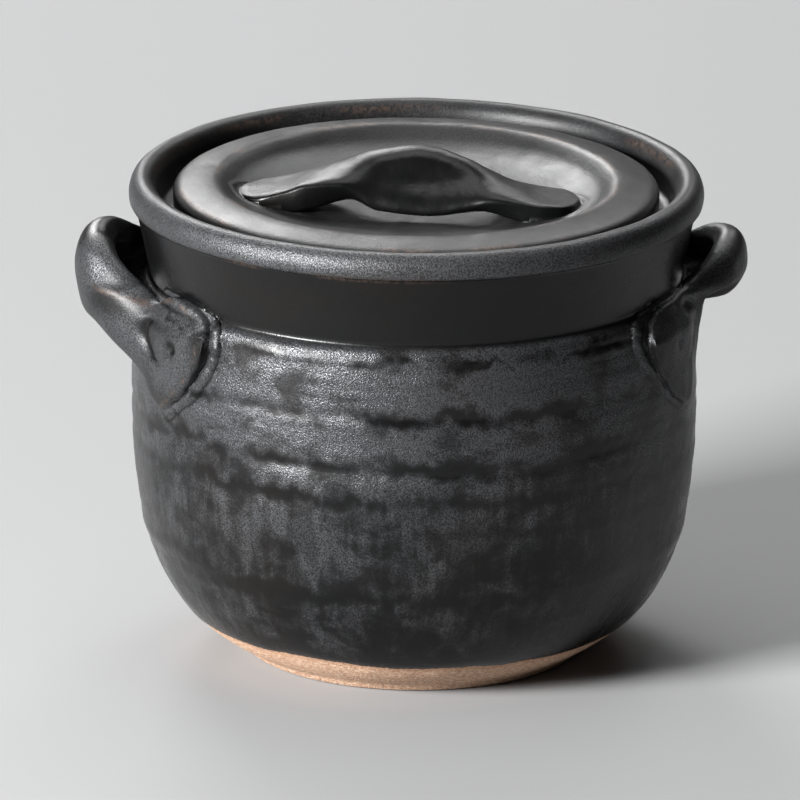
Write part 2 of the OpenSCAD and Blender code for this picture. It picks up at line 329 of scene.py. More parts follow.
def from_line(angle, height, lines):
    """Distance along the wall from a line beside the nearest pad."""
    across = np.radians(np.abs(from_ear(angle))) * BELLY_R
    result = np.zeros(np.shape(across))
    for here, line_x, line_y in on_side(lines, angle):
        result = np.where(here, distance_to(across, height, line_x, line_y), result)
    return result


def within_pad(angle, height):
    """Which points lie inside the edge of the nearest pad."""
    across = np.radians(np.abs(from_ear(angle))) * BELLY_R
    result = np.zeros(np.shape(across), bool)
    for here, line_x, line_y in on_side(PAD, angle):
        closed_x = np.concatenate([line_x, [line_x[-1] - 9, line_x[0] - 9]])
        closed_y = np.concatenate([line_y, [line_y[-1], line_y[0]]])
        result |= here & inside(across, height, closed_x, closed_y)
    return result


# Heights of the dark scalloped lines left by the glazing and throwing
BANDS = [96.7, 82.8, 69.0, 60.0, 32.0]


def band_height(angle, k):
    """How far the k-th line wanders up and down."""
    wander = turn_noise(40 + k, angle, 0 * angle, 22)
    scallop = np.abs(np.sin(angle * (46 + 5 * k) / 2 + turn_noise(60 + k, angle, 0 * angle, 14) * 2.4))
    return wander - 0.8 * scallop


def wall_relief(angle, z):
    """How far the thrown wall stands out from its plain form."""
    relief = 0.30 * turn_noise(1, angle, z, 26) + 0.10 * turn_noise(2, angle, z, 9)
    relief += 0.035 * turn_noise(3, angle, z, 2.2)
    relief += 0.09 * noise(4, angle / (2 * math.pi) * 7, z / 1.7, 7) * smooth(14, 24, z)
    for k, level in enumerate(BANDS):
        relief -= 0.20 * bump(z, level + band_height(angle, k), 1.5)
    relief += 0.45 * bump(z, 33.5 + turn_noise(9, angle, 0 * angle, 40), 3.6)
    relief -= 0.25 * bump(z, 46, 9)
    return relief


def pot_profile():
    """Outer and inner wall as one line from the middle of the base to the middle of the floor."""
    turn_z = CREASE_Z - SHOULDER_H
    parts = [
        (line((8, 0), (BASE_R - 1.5, 0), 20), 4.5),
        (line((BASE_R - 1.5, 0), (BASE_R, 0.25), 4), 0.8),
        (bezier((BASE_R, 0.25), (BASE_R + 3, 5), (BELLY_R, BELLY_Z * 0.115), (BELLY_R, BELLY_Z), 200), 1.45),
        (bezier((BELLY_R, BELLY_Z), (BELLY_R, BELLY_Z + 12), (BELLY_R - 0.65, turn_z - 8),
                (BELLY_R - TURN_IN, turn_z), 90), 0.85),
        (arc(CREASE_R - 0.2, turn_z, BELLY_R - TURN_IN - CREASE_R + 0.2, SHOULDER_H, 8, 82, 40), 0.6),
        (bezier((CREASE_R, CREASE_Z), (CREASE_R + 1, CREASE_Z + 6), (COLLAR_TOP_R - 1.6, BEAD_Z - 6),
                (COLLAR_TOP_R, BEAD_Z), 60), 1.0),
        (arc(RIM_R - BEAD_W / 2, RIM_Z - BEAD_HALF, BEAD_W / 2, BEAD_HALF, -25, 180, 60), 0.75),
        (line((RIM_R - BEAD_W, RIM_Z - BEAD_HALF), (GALLERY_R, LEDGE_Z), 12), 1.2),
        (line((GALLERY_R, LEDGE_Z), (LEDGE_R + 1, LEDGE_Z), 8), 2.5),
        (arc(LEDGE_R + 1, LEDGE_Z - LEDGE_T / 2, 1, LEDGE_T / 2, 90, 200, 10), 1.6),
        (line((LEDGE_R, LEDGE_Z - LEDGE_T), (CREASE_R - WALL, CREASE_Z), 10), 5),
        (bezier((CREASE_R - WALL, CREASE_Z), (BELLY_R - WALL, CREASE_Z - 12), (BELLY_R - WALL, BELLY_Z + 16),
                (BELLY_R - WALL, BELLY_Z), 20), 7),
        (bezier((BELLY_R - WALL, BELLY_Z), (BELLY_R - WALL, FLOOR_T + 16), (BASE_R + 14, FLOOR_T),
                (BASE_R - 14, FLOOR_T), 40), 7),
        (line((BASE_R - 14, FLOOR_T), (8, FLOOR_T), 6), 9),
    ]
    return join_parts([6, 0], 4.5, parts)


def fine_angles(fine, middling, coarse):
    """Angles round the pot, closest where the ears are pressed on to it."""
    stops = [0, 17, 47, 133, 163, 197, 227, 313, 343, 360]
    steps = [middling, fine, coarse, fine, middling, fine, coarse, fine, middling]
    parts = []
    for a, b, step in zip(stops[:-1], stops[1:], steps):
        parts.append(np.linspace(a, b, int(round((b - a) / step)), endpoint=False))
    return np.radians(np.concatenate(parts))


def make_vessel():
    rows = pot_profile()
    angles = fine_angles(0.5, 1.0, 1.2)
    along = np.gradient(rows, axis=0)
    along /= np.linalg.norm(along, axis=1)[:, None]
    normal = np.stack([along[:, 1], -along[:, 0]], 1)
    shape = (len(rows), len(angles))
    r, z = (np.broadcast_to(rows[:, k : k + 1], shape) for k in (0, 1))
    angle = np.broadcast_to(angles, shape)
    number = np.arange(len(rows))[:, None]
    rim_row = int(np.argmax(rows[:, 1]))
    outer = (number <= rim_row) & (z > 1)
    wall = outer & (z < CREASE_Z - 1)
    push = np.zeros(shape)
    push += np.where(wall, wall_relief(angle, z) * smooth(1, 8, z) * smooth(100, 97, z), 0)
    collar = outer & (z >= CREASE_Z - 1) & (z < BEAD_Z)
    push += np.where(collar, 0.12 * turn_noise(5, angle, z, 20) + 0.04 * turn_noise(6, angle, z, 5), 0)
    bead = (z >= BEAD_Z) & (r > GALLERY_R - 0.2)
    push += np.where(bead, 0.14 * turn_noise(7, angle, z, 16) + 0.05 * turn_noise(8, angle, z, 6) - 0.1, 0)
    near = outer & (z > 60) & (z < 112)
    groove = from_line(angle, z, PAD)
    push -= np.where(near, 0.4 * bump(groove, 0.5, 0.8), 0)
    glaze_step = GLAZE_T * smooth(-0.4, 0.5, z - glaze_line(angle))
    push += np.where(outer & (z < 30), glaze_step - GLAZE_T, 0)
    r = r + push * normal[:, :1]
    z = z + push * normal[:, 1:]
    return turned("pot", angles, r, z)


def glaze_line(angle):
    """Height at which the glaze ends over the bare foot."""
    return GLAZE_LINE_Z + 0.9 * turn_noise(21, angle, 0 * angle, 60) + 0.35 * turn_noise(22, angle, 0 * angle, 9)


# One ear: how far it stands out, the heights of its band, where its lower edge falls on its way to the pads, how it
# leans, the middle line of its roll, where its lip ends and how far its pads are pressed back under the roll
EARS = {
    "right": dict(reach=13.1, top=10.8, height=15.8, skew=0.3, fall=(0.20, 0.44), crest=(0.6, 0.0), pad_top=0.6,
                  roll=(7.0, 1.5, 3.2), up=(0.22, 2.6), lip=(7.7, 5.4), lip_back=0.05, step=1.0, dents=0.4, seed=71),
    "left": dict(reach=15.5, top=12.7, height=22.8, skew=6.0, fall=(0.06, 0.66), crest=(0.4, 2.2), pad_top=3.0,
                 roll=(5.2, 2.6, 2.9), up=(0.32, 3.8), lip=(10.0, 7.5), lip_back=0.45, step=0.0, dents=1.0, seed=72),
}
EAR_SPREAD = 41.0
PAD_END, PAD_END_DROP = 39.5, 9.5
PAD_DROP, PAD_T, PAD_ROOT = 27.5, 2.9, 5.1
BAND_T = 7.2
EAR_RINGS, EAR_POINTS = 152, 90
ROLL_RINGS, ROLL_POINTS = 140, 16
ROLL_W, ROLL_H, ROLL_SUNK = 2.0, 1.5, 0.35


def ear_rings(ear, steps, points):
    """Rings of an ear on the right side, each in an upright plane through the axis."""
    g = PAD_END * np.cos(np.linspace(0, math.pi, steps))[:, None]
    away = np.abs(g)
    u = away / EAR_SPREAD
    lift = (g > 0) * ear["skew"] * smooth(0, 0.25, u) * (1 - smooth(0.36, 0.7, u))
    end = np.clip((away - 28.7) / (PAD_END - 28.7), 0, 1)
    tip = np.clip((away - 24.6) / (PAD_END - 24.6), 0, 1)
    top = CREASE_Z + mix(ear["top"], ear["pad_top"], smooth(0, ear["crest"][0], u)) + lift
    top -= ear["crest"][1] * bump(u, 0.47, 0.1)
    top -= (PAD_END_DROP + ear["pad_top"] - 3.0) * (1 - np.sqrt(1 - end**2.2))
    low = CREASE_Z + mix(ear["top"] - ear["height"], -PAD_DROP, smooth(*ear["fall"], u)) + lift
    low += (PAD_DROP - PAD_END_DROP + 2.4) * (1 - (1 - tip**1.5) ** 0.8)
    a = np.linspace(0, 2 * math.pi, points, endpoint=False)[None, :]
    s = (1 + np.sin(a)) / 2
    out = mix(BELLY_R + ear["reach"], BELLY_R + PAD_T, smooth(0, 0.6, u))
    # Middle line of the rolled band, from its lower edge up, over and down to the lip
    lip_in, lip_down = ear["lip"]
    depths = (*ear["roll"], lip_in * (1 - ear["lip_back"] * smooth(0, 0.42, u)))
    heights = (low, mix(low, top, ear["up"][0]), top + ear["up"][1], top - lip_down)
    shares = ((1 - s) ** 3, 3 * (1 - s) ** 2 * s, 3 * (1 - s) * s**2, s**3)
    line_r = out - sum(d * w for d, w in zip(depths, shares))
    line_z = sum(h * w for h, w in zip(heights, shares))
    # Middle line of the pad, which follows the wall in over the shoulder's turn
    pad_z = mix(low, top, s)
    turn_in = smooth(CREASE_Z - SHOULDER_H, CREASE_Z + 2, pad_z) * (BELLY_R - CREASE_R)
    pad_r = BELLY_R + (PAD_T - PAD_ROOT) / 2 - 0.75 * turn_in
    pressed = smooth(0.24, 0.56, u)
    line_r, line_z = mix(line_r, pad_r, pressed), mix(line_z, pad_z, pressed)
    half = mix(BAND_T, PAD_T + PAD_ROOT, pressed) / 2
    half = half * (1 - (1 - pressed) * (0.3 * (1 - smooth(0, 0.45, s)) + 0.25 * smooth(0.55, 1, s)))
    cap = (1 - np.abs(np.sin(a)) ** mix(3.4, 6.0, pressed)) ** mix(1 / 3.4, 1 / 6.0, pressed)
    px = np.sign(np.cos(a)) * cap
    rise = np.gradient(line_z, axis=1) * np.sign(np.cos(a))
    inward = -np.gradient(line_r, axis=1) * np.sign(np.cos(a))
    size = np.hypot(rise, inward) + 1e-9
    r = line_r + half * px * rise / size
    z = line_z + half * px * inward / size * (1 - pressed)
    pull = ear["step"] * (out - BELLY_R - PAD_T) * smooth(0.1, 0.24, u)
    r = r - pull * (1 - smooth(CREASE_Z - 4.8, CREASE_Z, z))
    face = smooth(0, 0.6, px)
    r = r - face * (ear_valley(ear, away, z) + ear["dents"] * pad_dents(away, z))
    angle = np.radians(np.broadcast_to(g, r.shape))
    lumps = 0.30 * turn_noise(ear["seed"], angle, z, 9) + 0.10 * turn_noise(ear["seed"] + 1, angle, z, 3)
    r = r + (lumps - 0.25) * face
    torn = turn_noise(ear["seed"] + 2, angle, z, 2.6) + 0.6 * turn_noise(ear["seed"] + 3, angle, z, 1.1)
    rim = smooth(22, 28, away) * smooth(0.8, 0.97, np.abs(np.sin(a))) * smooth(-0.4, 0.3, px)
    r = r + 0.22 * torn * rim
    z = z + 0.30 * torn * rim
    return np.stack([r * np.cos(angle), r * np.sin(angle), z], -1)


def left_ridge(away, end):
    """Height of the ridge along the left ear's arms, for points up to the given degrees from the ear's middle."""
    return through([0, 8, 10, 13, 18, 23, 30, end], [104.5, 102, 101.2, 100.8, 99.6, 102.5, 106, 110], away)


def ear_valley(ear, away, z):
    """The upper side of each front arm falls back behind a ridge, which runs on into the pad's upper edge."""
    if ear is EARS["left"]:
        ridge_z = left_ridge(away, 41)
        return 1.8 * smooth(-0.2, 2.4, z - ridge_z) * smooth(5, 13, away) * (1 - smooth(20, 24, away))
    return 1.2 * bump(z, 98.4, 1.6) * smooth(6, 12, away) * (1 - smooth(20, 25, away))


def pad_dents(away, z):
    """Where the potter's thumb pressed the pad on: a wide print with a steep side, and the tip of a tool."""
    side = 18.6 + 0.13 * (z - 92.6) ** 2
    window = smooth(84, 87.5, z) * (1 - smooth(95.5, 98.5, z))
    thumb = bump(away, side, 1.25) * window
    bowl = smooth(side - 1.0, side + 2.5, away) * (1 - smooth(27, 35, away)) * window
    tool = bump(away, 29.7, 1.25) * bump(z, 91.8, 1.7)
    return 1.1 * thumb + 0.45 * bowl + 1.2 * tool


def make_ear(side):
    rings = ear_rings(EARS[side], EAR_RINGS, EAR_POINTS)
    if side == "left":
        rings = rings * np.array([-1, 1, 1])
    return lofted("ear", rings)


def glaze_roll(wall, side, depth, seed):
    """Tapered tube of slip lying on the wall round one pad."""
    t = np.linspace(0, 1, ROLL_RINGS)
    middle = np.array(ROLL[side])
    knots = np.linspace(0, 1, len(middle))
    wobble = noise(seed, t * 50 + 3, 0 * t, 60)
    angle = np.radians(through(knots, middle[:, 0], t) + 0.12 * wobble)
    z = through(knots, middle[:, 1], t) + 0.12 * wobble
    r = np.interp(z, wall[:, 1], wall[:, 0]) - ROLL_SUNK
    path = np.stack([r * np.cos(angle), r * np.sin(angle), z], 1)
    along = np.gradient(path, axis=0)
    along /= np.linalg.norm(along, axis=1)[:, None]
    out = np.stack([np.cos(angle), np.sin(angle), 0 * z], 1)
    across = np.cross(out, along)
    size = smooth(0, 0.1, t) * (1 - smooth(0.93, 1, t)) * (1 + 0.14 * noise(seed + 1, t * 30 + 5, 0 * t, 40)) + 0.02
    slim = mix(1.0, 0.6, smooth(98.0, 101.0, z))
    a = np.linspace(0, 2 * math.pi, ROLL_POINTS, endpoint=False)[None, :, None]
    width, height = ((k * size * slim)[:, None, None] for k in (ROLL_W, ROLL_H))
    rings = path[:, None] + out[:, None] * np.cos(a) * height + across[:, None] * np.sin(a) * width
    return lofted("roll", rings * np.array([1 if side == "right" else -1, depth, 1]))


# The strap in the photograph's view: across the view, then its back edge, ridge and front edge as depth and height,
# and its thickness
STRAP = np.array([
    (-46.3, 1.6, 121.4, 1.1, 121.5, 0.6, 121.4, 2.2),
    (-45.6, 4.6, 122.0, 1.0, 122.2, -2.8, 122.0, 3.2),
    (-43.6, 8.2, 122.5, 1.0, 122.8, -5.8, 122.5, 4.0),
    (-40.0, 10.4, 122.8, 1.2, 123.2, -8.0, 123.1, 5.0),
    (-34.0, 10.8, 123.6, 1.0, 124.4, -8.9, 124.9, 6.4),
    (-29.0, 10.3, 124.9, 0.0, 126.2, -9.6, 126.7, 7.4),
    (-20.0, 8.2, 128.4, -2.5, 129.6, -11.2, 127.4, 7.2),
    (-10.0, 4.6, 132.4, -5.0, 132.2, -13.2, 121.4, 5.4),
    (0.0, 3.4, 133.8, -5.4, 133.2, -14.8, 120.7, 4.6),
    (5.0, 3.0, 133.3, -5.4, 132.9, -15.4, 121.0, 4.6),
    (12.0, 2.6, 130.8, -5.6, 131.4, -15.8, 122.6, 5.0),
    (20.0, 3.2, 127.2, -6.0, 128.2, -16.3, 124.8, 6.0),
    (26.0, 4.6, 124.2, -6.2, 125.6, -16.6, 124.6, 6.2),
    (32.0, 5.8, 123.0, -6.0, 123.7, -16.8, 123.6, 5.8),
    (37.0, 5.0, 122.6, -5.6, 123.1, -15.8, 122.9, 5.2),
    (40.6, 1.8, 122.2, -5.4, 122.5, -12.4, 122.3, 4.4),
    (42.2, -2.4, 121.8, -5.3, 122.0, -8.4, 121.8, 3.2),
    (42.6, -4.6, 121.4, -5.1, 121.5, -5.8, 121.4, 2.2),
])


def from_view(x, y):
    """Turns places that were read across and along the view into the pot's frame."""
    c, s = math.cos(VIEW_TURN), math.sin(VIEW_TURN)
    return x * c - y * s, x * s + y * c


def strap_rings(count, half_points):
    """Rings of the strap, each in an upright plane along the view."""
    t = np.linspace(0, 1, count)
    x = mix(STRAP[0, 0], STRAP[-1, 0], 0.5 - 0.5 * np.cos(math.pi * t))
    x = mix(x, mix(STRAP[0, 0], STRAP[-1, 0], t), 0.6)
    back_y, back_z, ridge_y, ridge_z, front_y, front_z, thick = (
        through(STRAP[:, 0], STRAP[:, k], x)[:, None] for k in range(1, 8)
    )
    s = 0.5 - 0.5 * np.cos(np.linspace(0, math.pi, half_points))[None, :]
    # A curve from the back edge through the ridge to the front edge
    mid_y = 2 * ridge_y - (back_y + front_y) / 2
    mid_z = 2 * ridge_z - (back_z + front_z) / 2
    y = (1 - s) ** 2 * back_y + 2 * s * (1 - s) * mid_y + s**2 * front_y
    z = (1 - s) ** 2 * back_z + 2 * s * (1 - s) * mid_z + s**2 * front_z
    dy = 2 * (1 - s) * (mid_y - back_y) + 2 * s * (front_y - mid_y)
    dz = 2 * (1 - s) * (mid_z - back_z) + 2 * s * (front_z - mid_z)
    size = np.hypot(dy, dz) + 1e-6
    ny, nz = dz / size, -dy / size
    scoop = 2.0 * bump(s, 0.72, 0.17) * bump(x[:, None], 1, 13)
    y, z = y - ny * scoop, z - nz * scoop
    crisp = 4.0 + 4.0 * smooth(18, 30, np.abs(x[:, None])) * (1 - smooth(38, 42, np.abs(x[:, None])))
    half = thick / 2 * (1 - np.abs(2 * s - 1) ** crisp) ** (1 / crisp)
    cy, cz = y - ny * thick / 2, z - nz * thick / 2
    lumps = 0.22 * noise(81, x[:, None] / 7 + 20, s * 3, 40) + 0.08 * noise(82, x[:, None] / 2.5 + 40, s * 8, 90)
    top_y, top_z = cy + ny * (half + lumps), cz + nz * (half + lumps)
    under_y, under_z = (cy - ny * half)[:, ::-1][:, 1:-1], (cz - nz * half)[:, ::-1][:, 1:-1]
    ring_y, ring_z = np.hstack([top_y, under_y]), np.hstack([top_z, under_z])
    ring_x = np.broadcast_to(x[:, None], ring_y.shape)
    return np.stack([*from_view(ring_x, ring_y), ring_z - 0.06], -1)


def strap_outline():
    """Closed outline of the strap from above, in the pot's frame."""
    x = np.linspace(STRAP[0, 0], STRAP[-1, 0], 90)
    back, front = through(STRAP[:, 0], STRAP[:, 1], x), through(STRAP[:, 0], STRAP[:, 5], x)
    return from_view(np.concatenate([x, x[::-1]]), np.concatenate([back, front[::-1]]))


def from_strap(x, y):
    """Distance from the strap's outline as seen from above, negative under the strap."""
    line_x, line_y = strap_outline()
    d = distance_to(x, y, np.append(line_x, line_x[0]), np.append(line_y, line_y[0]))
    return np.where(inside(x, y, line_x, line_y), -d, d)


def lid_profile():
    """Lid from the middle of its underside, over its edge and crest, to the middle of its dish."""
    parts = [
        (bezier((4, LEDGE_Z - LID_T + 1), (30, LEDGE_Z - LID_T + 1), (LEDGE_R - 8, LEDGE_Z - 3.6),
                (LEDGE_R - 1, LEDGE_Z - 0.6), 20), 5),
        (line((LEDGE_R - 1, LEDGE_Z - 0.6), (LEDGE_R + 1.2, LEDGE_Z), 4), 1.2),
        (line((LEDGE_R + 1.2, LEDGE_Z), (LID_R - 1.2, LEDGE_Z), 4), 1.2),
        (bezier((LID_R - 1.2, LEDGE_Z), (LID_R, LEDGE_Z + 0.4), (LID_R, LEDGE_Z + 2), (LID_R, LEDGE_Z + 5), 12), 0.8),
        (bezier((LID_R, LEDGE_Z + 5), (LID_R + 0.2, LID_TOP - 2.4), (LID_R - 1.2, LID_TOP - 1.3),
                (LID_R - 3.2, LID_TOP - 0.9), 20), 0.6),
        (bezier((LID_R - 3.2, LID_TOP - 0.9), (LID_R - 6, LID_TOP - 0.3), (CREST_R + 2.5, LID_TOP),
                (CREST_R, LID_TOP), 24), 0.7),
        (bezier((CREST_R, LID_TOP), (CREST_R - 1.6, LID_TOP), (CREST_R - 2.6, LID_TOP - 0.9),
                (CREST_R - 5, LID_TOP - 2.7), 20), 0.6),
        (bezier((CREST_R - 5, LID_TOP - 2.7), (CREST_R * 0.78, DISH_Z + 0.7), (CREST_R * 0.45, DISH_Z),
                (4, DISH_Z), 90), 0.75),
    ]
    return join_parts([3, LEDGE_Z - LID_T + 1], 5, parts)


def make_lid():
    rows = lid_profile()
    angles = np.linspace(0, 2 * math.pi, LID_COLUMNS, endpoint=False)
    r = np.broadcast_to(rows[:, :1], (len(rows), len(angles)))
    z = np.broadcast_to(rows[:, 1:], r.shape)
    angle = np.broadcast_to(angles, r.shape)
    upper = (np.arange(len(rows))[:, None] > np.argmax(rows[:, 0])) & (z > DISH_Z - 1)
    x, y = r * np.cos(angle), r * np.sin(angle)
    push = 0.12 * turn_noise(31, angle, r, 18) * smooth(4, 20, r) - 0.12
    push += 0.05 * turn_noise(32, angle, r, 6) * smooth(10, 30, r)
    push += 0.05 * noise(33, angle / (2 * math.pi) * 5, r / 1.6, 5) * smooth(8, 20, r) * smooth(50, 44, r)
    d = from_strap(x, y)
    far = smooth(20, 32, np.abs(x))
    push += (0.42 * bump(d, 1.5, 0.6) - 0.25 * bump(d, 0.4, 0.45)) * far
    z = z + np.where(upper, push, 0)
    return turned("lid", angles, r, z)


# Height above the glaze's end that stands for a place with glaze all over
ALL_GLAZED = 30.0


def lid_masks(lid):
    """Where the lid's glaze is thin and how silvery it is, with painted shade on the strap's front: hardly silvery
    where it faces the front.
    """
    x, y, z = coordinates(lid).T
    r, angle = np.hypot(x, y), np.arctan2(y, x)
    crest = bump(r, CREST_R - 0.6, 0.8) * (z > LID_TOP - 1) * smooth(-0.2, 0.7, turn_noise(91, angle, 0 * r, 12))
    brow = bump(r, LID_R - 2.0, 0.8) * (z > LID_TOP - 3) * smooth(0.1, 0.8, turn_noise(92, angle, 0 * r, 9))
    mask(lid, "edge", np.clip(crest + brow, 0, 1))
    mask(lid, "above_line", np.full(len(z), ALL_GLAZED))
    mask(lid, "wall", np.zeros(len(z)))
    normals = np.zeros(len(z) * 3, np.float32)
    lid.data.vertex_normals.foreach_get("vector", normals)
    # Painted shade: the strap's faces that turn to the front are made far less silvery, so darker
    facing = smooth(0.1, 0.6, -normals[1::3])
    silver_and_painted_light = np.where(r > CREST_R - 3, 0.29, 0.31)
    on_strap = (from_strap(x, y) < 0.9) & (z > DISH_Z + 0.9)
    mask(lid, "silver_and_painted_light", np.where(on_strap, mix(0.36, 0.04, facing), silver_and_painted_light))


def pot_masks(pot):
    """Where the pot's glaze ends, where it is thin, where it runs down the wall and how silvery it is, with painted
    highlights on the ears and the slip rolls and painted shade in the left pad's dents.
    """
    x, y, z = coordinates(pot).T
    r, angle = np.hypot(x, y), np.arctan2(y, x)
    away = np.abs(from_ear(angle))
    on_left = x < 0
    wall = pot_profile()
    wall = wall[: int(np.argmax(wall[:, 0] + 0.01 * wall[:, 1])) + 1]
    wall_r = np.interp(z, wall[:, 1], wall[:, 0])
    cavity = (z > FLOOR_T - 1) & (z < 60) & (r < wall_r - 3)
    mask(pot, "above_line", np.where(cavity, ALL_GLAZED, z - glaze_line(angle)))
    edge = 0.9 * bump(z, BEAD_Z, 0.55) * (r > COLLAR_TOP_R - 1) * smooth(-0.1, 0.6, turn_noise(93, angle, 0 * r, 14))
    inner = 0.7 * bump(r, RIM_R - BEAD_W + 1.0, 0.5) * (z > RIM_Z - 4)
    edge += inner * smooth(-0.2, 0.6, turn_noise(94, angle, 0 * r, 18))
    rim = from_line(angle, z, PAD)
    proud = smooth(0.3, 1.2, r - CREASE_R) * (z > 66) * (z < 112) * within_pad(angle, z)
    edge += bump(rim, 0.2, 0.7) * proud * smooth(-0.5, 0.4, turn_noise(95, angle, z, 3))
    ridge = 0.8 * bump(z, left_ridge(away, 90) - 0.3, 0.55) * smooth(6, 10, away) * (1 - smooth(20, 24, away))
    edge += ridge * (r > 73.5) * on_left
    mask(pot, "edge", np.clip(edge, 0, 1))
    on_ear = (r > BELLY_R + 0.9) * smooth(70, 78, z) * (z < 116)
    below = 1 - smooth(CREASE_Z - 1.5, CREASE_Z + 0.5, z)
    outside = (r > wall_r - 3).astype(float)
    mask(pot, "wall", below * outside * (1 - on_ear))
    # Patches where the ears' pads and rolls catch the key light are made more silvery: silvery glaze and painted
    # highlight together
    patches = bump(away, 12, 4.0) * bump(z, 88, 6) + bump(away, 28, 8) * bump(z, 89, 9)
    patches += 0.7 * bump(away, 8, 6) * bump(z, 107, 5)
    silver_and_painted_light = mix(0.06, 1.0, below)
    silver_and_painted_light = np.where(z > BEAD_Z, 0.75, silver_and_painted_light)
    # Painted shade: the thumb print and tool mark on the left pad are made less silvery, so darker
    dented = np.clip(pad_dents(away, z) / 0.9, 0, 1) * on_left
    cloudy = 0.3 * smooth(-0.1, 0.7, turn_noise(96, angle, z, 9))
    silver_and_painted_light = mix(silver_and_painted_light, (0.14 + 0.95 * np.clip(patches, 0, 1) + cloudy) * (1 - 0.9 * dented), on_ear)
    # Painted highlight: the roll of slip round each pad is made silvery so that it shines
    slip = from_line(angle, z, ROLL)
    silver_and_painted_light = np.maximum(silver_and_painted_light, 0.9 * bump(slip, 0, 1.5) * (r > wall_r + 0.3) * (z > 68) * (z < 104))
    mask(pot, "silver_and_painted_light", np.where(z > 113, np.where(outside > 0, silver_and_painted_light, 0.35), silver_and_painted_light * outside))


class Graph:
    """Short calls for building one material's nodes."""

    def __init__(self, name):
        self.material = bpy.data.materials.new(name)
        self.material.use_nodes = True
        self.tree = self.material.node_tree
        self.shader = self.tree.nodes["Principled BSDF"]
        self.place = self.node("ShaderNodeTexCoord").outputs["Object"]

    def node(self, kind, **settings):
        n = self.tree.nodes.new(kind)
        for key, value in settings.items():
            setattr(n, key, value)
        return n

    def join(self, value, socket):
        if hasattr(value, "links"):
            self.tree.links.new(value, socket)
        else:
            socket.default_value = value

    def stretched(self, x, y, z):
        """Place whose noise is drawn out along the axes with small factors."""
        n = self.node("ShaderNodeVectorMath", operation="MULTIPLY")
        self.join(self.place, n.inputs[0])
        n.inputs[1].default_value = (x, y, z)
        return n.outputs[0]

    def noise(self, size_mm, detail=2, rough=0.5, place=None, warp=0.0):
        n = self.node("ShaderNodeTexNoise")
        self.join(place or self.place, n.inputs["Vector"])
        n.inputs["Scale"].default_value = 1 / (size_mm * MM)
        n.inputs["Detail"].default_value = detail
        n.inputs["Roughness"].default_value = rough
        n.inputs["Distortion"].default_value = warp
        return n.outputs[0]

    def math(self, operation, a, b=0.0):
        n = self.node("ShaderNodeMath", operation=operation)
        self.join(a, n.inputs[0])
        self.join(b, n.inputs[1])
        return n.outputs[0]

    def times(self, a, b):
        return self.math("MULTIPLY", a, b)

    def rest(self, a):
        return self.math("SUBTRACT", 1.0, a)

    def around_zero(self, a, size):
        """Turns a noise of 0 to 1 into one of about minus half to plus half the size."""
        return self.times(self.math("SUBTRACT", a, 0.5), size)

    def ramp(self, value, low, high, to_low=0.0, to_high=1.0):
        n = self.node("ShaderNodeMapRange", interpolation_type="SMOOTHSTEP")
        self.join(value, n.inputs["Value"])
        n.inputs["From Min"].default_value = low
        n.inputs["From Max"].default_value = high
        self.join(to_low, n.inputs["To Min"])
        self.join(to_high, n.inputs["To Max"])
        return n.outputs["Result"]

    def mix(self, factor, a, b):
        n = self.node("ShaderNodeMix", data_type="RGBA")
        self.join(factor, n.inputs[0])
        self.join(a, n.inputs[6])
        self.join(b, n.inputs[7])
        return n.outputs[2]

    def attribute(self, name):
        return self.node("ShaderNodeAttribute", attribute_name=name).outputs["Fac"]

    def bump(self, height, distance_mm, normal=None):
        n = self.node("ShaderNodeBump")
        n.inputs["Strength"].default_value = 1
        n.inputs["Distance"].default_value = distance_mm * MM
        self.join(height, n.inputs["Height"])
        if normal is not None:
            self.join(normal, n.inputs["Normal"])
        return n.outputs[0]


# Lines round the wall that are drawn darker and less silvery: height, half width and how dark
DARK_LINES = [
    (96.6, 1.6, 0.7),
    (82.4, 2.3, 0.85),
    (69.2, 2.6, 0.85),
    (60.2, 1.9, 0.6),
    (32.5, 2.4, 0.65),
    (14.0, 3.0, 0.8),
]
BLACK, WARM_BLACK = (0.0022, 0.0023, 0.0025, 1), (0.0032, 0.0027, 0.0024, 1)
SILVER = (0.094, 0.096, 0.101, 1)
BROWN = (0.060, 0.040, 0.031, 1)
DARK_CLAY, PALE_CLAY = (0.40, 0.228, 0.144, 1), (0.66, 0.465, 0.332, 1)
SAND, PIT, TOASTED = (0.70, 0.58, 0.48, 1), (0.12, 0.065, 0.04, 1), (0.38, 0.195, 0.11, 1)
GLAZE_IOR = 1.34


